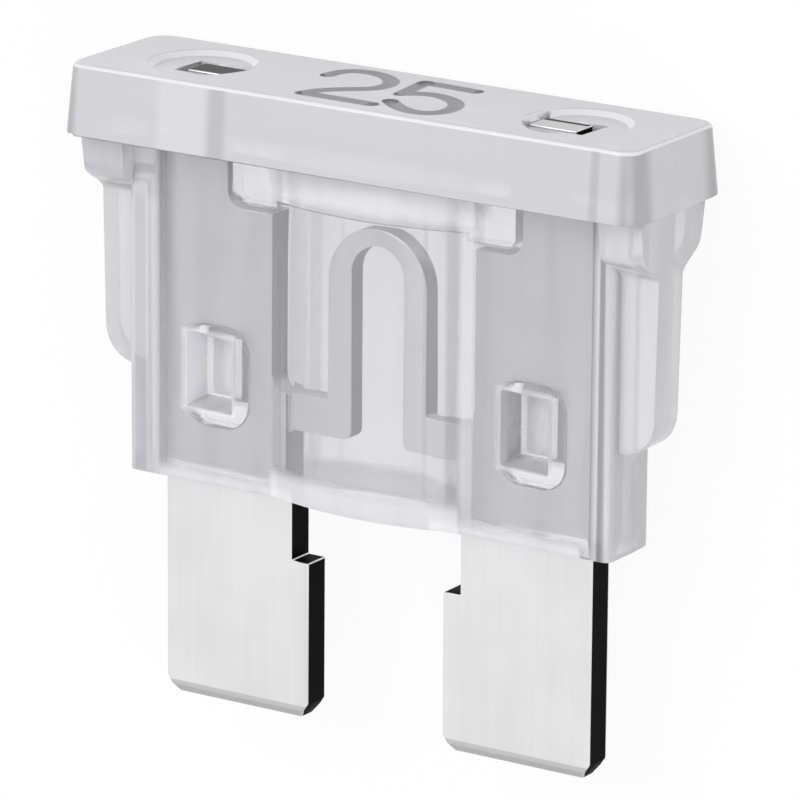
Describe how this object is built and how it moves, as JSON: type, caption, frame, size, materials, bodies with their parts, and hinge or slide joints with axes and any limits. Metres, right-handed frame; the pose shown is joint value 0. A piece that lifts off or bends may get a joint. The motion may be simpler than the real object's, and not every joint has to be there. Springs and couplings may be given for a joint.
{
  "type": "automotive blade fuse",
  "caption": "Plug-in vehicle fuse: clear plastic housing over a stamped metal element with blades joined by a fusible link.",
  "frame": {"origin": "on the resting surface, under the centre of the fuse's outline as it lies on its back", "axes": "+X across the fuse from the left blade to the right blade seen from the front, +Y from the blade tips to the cap, +Z out of the front face"},
  "size_m": [0.0194, 0.019, 0.0049],
  "materials": {
    "clear_plastic": "clear, slightly milky moulded plastic with a smooth gloss",
    "zinc_alloy": "rolled zinc alloy sheet with a satin sheen and dark sheared edges"
  },
  "bodies": {
    "root": {"housing": "clear_plastic", "fuse_element": "zinc_alloy"}
  },
  "joints": []
}
